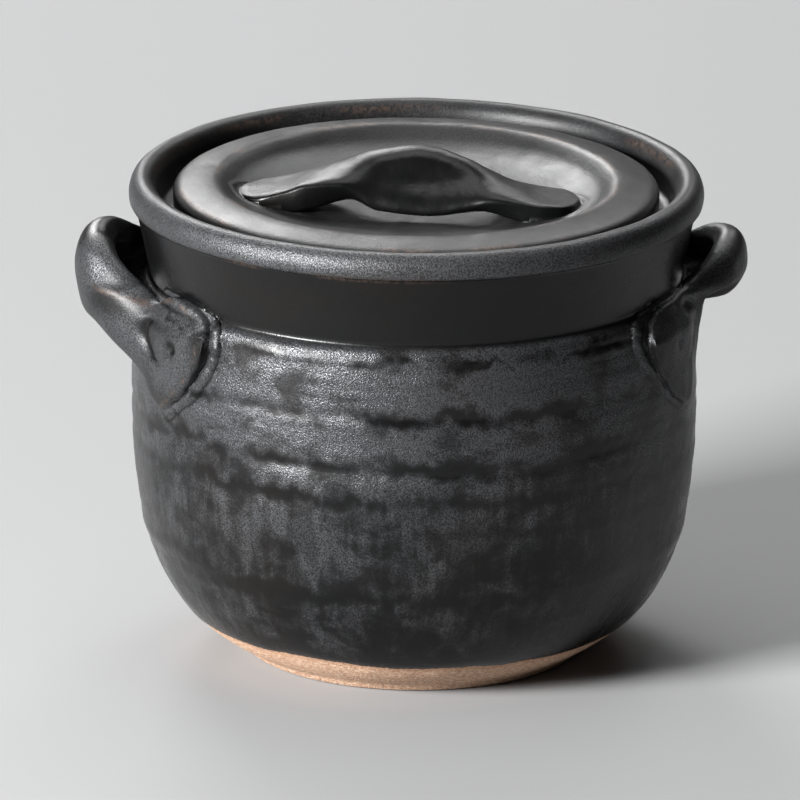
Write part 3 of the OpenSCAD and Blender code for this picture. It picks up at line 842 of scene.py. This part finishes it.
def silvery(g, wall):
    """How silvery the glaze is: in clouds, and on the wall in streaks between dark scalloped lines, with painted
    shade towards the foot; the stored mask adds painted highlights and shade.
    """
    clouds = g.noise(12, 4, 0.6, g.stretched(1, 1, 1.3), 0.3)
    clouds = g.ramp(clouds, 0.34, 0.62, g.ramp(wall, 0.0, 1.0, 0.8, 0.35), 1.0)
    split = g.node("ShaderNodeSeparateXYZ")
    g.join(g.place, split.inputs[0])
    height = split.outputs[2]
    # Runs of glaze down the lower wall
    broad = g.ramp(g.noise(7, 2, 0.5, g.stretched(1, 1, 0.22), 0.2), 0.40, 0.60)
    narrow = g.ramp(g.noise(2.4, 2, 0.5, g.stretched(1, 1, 0.16)), 0.36, 0.60)
    gaps = g.rest(g.times(g.ramp(broad, 0.0, 1.0, 0.45, 1.0), g.ramp(narrow, 0.0, 1.0, 0.55, 1.0)))
    streaks = g.rest(g.times(gaps, g.ramp(height, 0.070, 0.060, 0.12, 0.65)))
    # Lines that wander, drip and fade
    wander = g.around_zero(g.noise(9, 2, 0.5, g.stretched(1, 1, 0.3)), 0.008)
    drips = g.around_zero(g.noise(4.4, 2, 0.5, g.stretched(1, 1, 0.45)), 0.005)
    fading = g.ramp(g.noise(15), 0.36, 0.58, 0.25, 1.0)
    level = g.math("ADD", height, g.math("ADD", wander, drips))
    dark = 0.0
    for z, half, deep in DARK_LINES:
        away = g.math("ABSOLUTE", g.math("SUBTRACT", level, z * MM))
        dark = g.math("MAXIMUM", dark, g.times(g.ramp(away, half * 1.5 * MM, 0.0, 0.0, deep), fading))
    streaks_and_shade = g.times(streaks, g.rest(dark))
    # Painted shade: less silvery, so darker, from the belly down to the foot, below the shoulder's highlight
    streaks_and_shade = g.times(streaks_and_shade, g.ramp(height, 0.030, 0.092, 0.5, 1.0))
    streaks_and_shade = g.math("ADD", g.times(streaks_and_shade, wall), g.rest(wall))
    return g.times(g.times(clouds, streaks_and_shade), g.attribute("silver_and_painted_light"))


def sandy_clay(g, over):
    """Colour of the bare clay: mottled, with pale grains and dark pits, and toasted next to the glaze."""
    clay = g.mix(g.ramp(g.noise(1.0, 4, 0.7), 0.35, 0.68), DARK_CLAY, PALE_CLAY)
    grains = g.ramp(g.noise(0.55), 0.62, 0.70)
    clay = g.mix(g.times(grains, 0.7), clay, SAND)
    pits = g.ramp(g.noise(0.8, 2, 0.5, g.stretched(1.1, 0.9, 1.3)), 0.36, 0.28)
    clay = g.mix(g.times(pits, 0.8), clay, PIT)
    return g.mix(g.ramp(over, -2.2, -0.1, 0.0, 0.55), clay, TOASTED)


def iron_glaze(name):
    """Satin black glaze full of fine silvery flecks, streaked and lined on the wall and brown where it thins."""
    g = Graph(name)
    wall = g.attribute("wall")
    silver_and_painted_light = silvery(g, wall)
    fine = g.noise(0.42, 2, 0.65)
    fleck = g.times(g.ramp(silver_and_painted_light, 0.10, 0.95), g.ramp(fine, 0.41, 0.61, 0.12, 1.0))
    colour = g.mix(g.ramp(g.noise(30), 0.45, 0.7), BLACK, WARM_BLACK)
    colour = g.mix(fleck, colour, SILVER)
    # Brown where the glaze breaks thin over edges
    broken = g.times(g.attribute("edge"), g.ramp(g.noise(1.3, 3, 0.6), 0.34, 0.6))
    colour = g.mix(g.times(broken, 0.85), colour, BROWN)
    # Bare sandy clay under the ragged end of the glaze
    over = g.math("ADD", g.attribute("above_line"), g.around_zero(g.noise(1.1, 3, 0.6), 1.2))
    bare = g.ramp(over, 0.12, -0.12)
    colour = g.mix(bare, colour, sandy_clay(g, over))
    rough = g.ramp(silver_and_painted_light, 0.0, 0.35, 0.28, 0.42)
    rough = g.math("SUBTRACT", rough, g.times(wall, 0.09))
    rough = g.math("ADD", rough, g.around_zero(g.noise(5, 3, 0.6), 0.12))
    rough = g.math("MAXIMUM", rough, g.times(bare, 0.9))
    g.join(colour, g.shader.inputs["Base Color"])
    g.join(rough, g.shader.inputs["Roughness"])
    g.join(g.times(g.times(fleck, 0.95), g.rest(bare)), g.shader.inputs["Metallic"])
    g.shader.inputs["IOR"].default_value = GLAZE_IOR
    # Orange peel all over, grain where the glaze is silvery, sandy pits on the bare clay
    peel = g.bump(g.noise(1.5), 0.055)
    speck = g.bump(g.times(fine, g.ramp(silver_and_painted_light, 0.0, 0.8, 0.06, 1.0)), 0.17, peel)
    sand = g.bump(g.times(g.noise(0.9, 4, 0.75), bare), 0.45, speck)
    g.join(sand, g.shader.inputs["Normal"])
    return g.material


def plain(name, colour, rough):
    """Matt paper with hardly any mottling."""
    g = Graph(name)
    darker = tuple(c * 0.9 for c in colour)
    shade = g.mix(g.ramp(g.noise(400), 0.3, 0.7, 0.0, 0.03), (*colour, 1), (*darker, 1))
    g.join(shade, g.shader.inputs["Base Color"])
    g.shader.inputs["Roughness"].default_value = rough
    g.shader.inputs["Specular IOR Level"].default_value = 0.2
    return g.material


def make_floor():
    """Pale floor that curves up into a backdrop far behind the pot."""
    near, far, bend, top, half_width = -4, 5.4, 0.9, 4.0, 5
    turn = np.linspace(0, math.pi / 2, 24)[1:]
    depth = np.concatenate([np.linspace(near, far, 40), far + bend * np.sin(turn)])
    rise = np.concatenate([np.zeros(40), bend - bend * np.cos(turn)])
    depth, rise = np.append(depth, depth[-1]), np.append(rise, top)
    verts = np.array([(x, y, z) for y, z in zip(depth, rise) for x in (-half_width, half_width)]) / MM
    faces = [[2 * i, 2 * i + 1, 2 * i + 3, 2 * i + 2] for i in range(len(depth) - 1)]
    floor = make_mesh("floor", verts, faces)
    for face in floor.data.polygons:
        face.use_smooth = True
    floor.data.materials.append(plain("floor_paper", FLOOR_COLOUR, 0.9))


def add_area(name, place, size, power):
    data = bpy.data.lights.new(name, "AREA")
    data.shape = "RECTANGLE"
    data.size, data.size_y = size
    data.energy = power
    lamp = bpy.data.objects.new(name, data)
    lamp.location = place
    lamp.rotation_euler = (Vector(POT_MIDDLE) - Vector(place)).to_track_quat("-Z", "Y").to_euler()
    bpy.context.scene.collection.objects.link(lamp)


def make_camera():
    """The photograph's camera: its height, distance, roll and frame, from how the pot lies in the photograph."""
    elevation, distance, roll = math.radians(17.16), 4.461, math.radians(0.46)
    pixels_per_metre, frame_pixels, sensor = 3833.6, 800, 36
    off_right, off_down = 14.5, 13.0
    forward = Vector((
        -math.sin(VIEW_TURN) * math.cos(elevation),
        math.cos(VIEW_TURN) * math.cos(elevation),
        -math.sin(elevation),
    ))
    level_right = Vector((math.cos(VIEW_TURN), math.sin(VIEW_TURN), 0))
    level_up = level_right.cross(forward)
    right = level_right * math.cos(roll) + level_up * math.sin(roll)
    up = level_up * math.cos(roll) - level_right * math.sin(roll)
    target = Vector((0, 0, 0.062)) - right * (off_right / pixels_per_metre) + up * (off_down / pixels_per_metre)
    camera = bpy.data.objects.new("camera", bpy.data.cameras.new("camera"))
    turn = Matrix((right, up, -forward)).transposed().to_4x4()
    camera.matrix_world = Matrix.Translation(target - forward * distance) @ turn
    camera.data.sensor_width = sensor
    camera.data.lens = sensor * pixels_per_metre * distance / frame_pixels
    bpy.context.scene.collection.objects.link(camera)
    bpy.context.scene.camera = camera


def make_light():
    """Soft key from the left front, faint light from behind and above, and hardly any from all round."""
    world = bpy.data.worlds.new("studio")
    world.use_nodes = True
    background = world.node_tree.nodes["Background"]
    background.inputs["Color"].default_value = (0.92, 0.94, 0.97, 1)
    background.inputs["Strength"].default_value = 0.03
    bpy.context.scene.world = world
    add_area("key", (-1.44, -0.99, 0.73), (0.6, 0.45), 145)
    add_area("back", (-0.08, 1.15, 1.47), (1.4, 0.8), 14)
    add_area("rear", (-0.30, 1.42, 0.98), (0.5, 0.5), 17)
    add_area("top", (0, 0, 1.89), (1.0, 1.0), 9)
    add_area("rear_right", (0.62, 1.27, 1.2), (0.6, 0.6), 5)


def finish_piece(obj, material):
    """Gives a piece its one material and smooth faces."""
    obj.data.materials.clear()
    obj.data.materials.append(material)
    count = len(obj.data.polygons)
    obj.data.polygons.foreach_set("material_index", [0] * count)
    obj.data.polygons.foreach_set("use_smooth", [True] * count)
    obj.data.update()


make_camera()
make_light()
make_floor()

pot = make_vessel()
for side in EARS:
    pot = unite(pot, make_ear(side))
wall = pot_profile()
wall = wall[: int(np.argmax(wall[:, 1]))]
for number, (side, depth) in enumerate((("right", -1), ("left", -1), ("right", 1), ("left", 1))):
    pot = unite(pot, glaze_roll(wall, side, depth, 200 + 10 * number))
drop_slivers(pot)
pot_masks(pot)
finish_piece(pot, iron_glaze("pot_glaze"))
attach(pot, "root")
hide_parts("pot")

lid = make_lid()
lid = unite(lid, lofted("strap", strap_rings(STRAP_RINGS, STRAP_HALF)))
drop_slivers(lid)
lid_masks(lid)
finish_piece(lid, iron_glaze("lid_glaze"))
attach(lid, "root")
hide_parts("lid")

bpy.context.scene.view_settings.view_transform = "Standard"
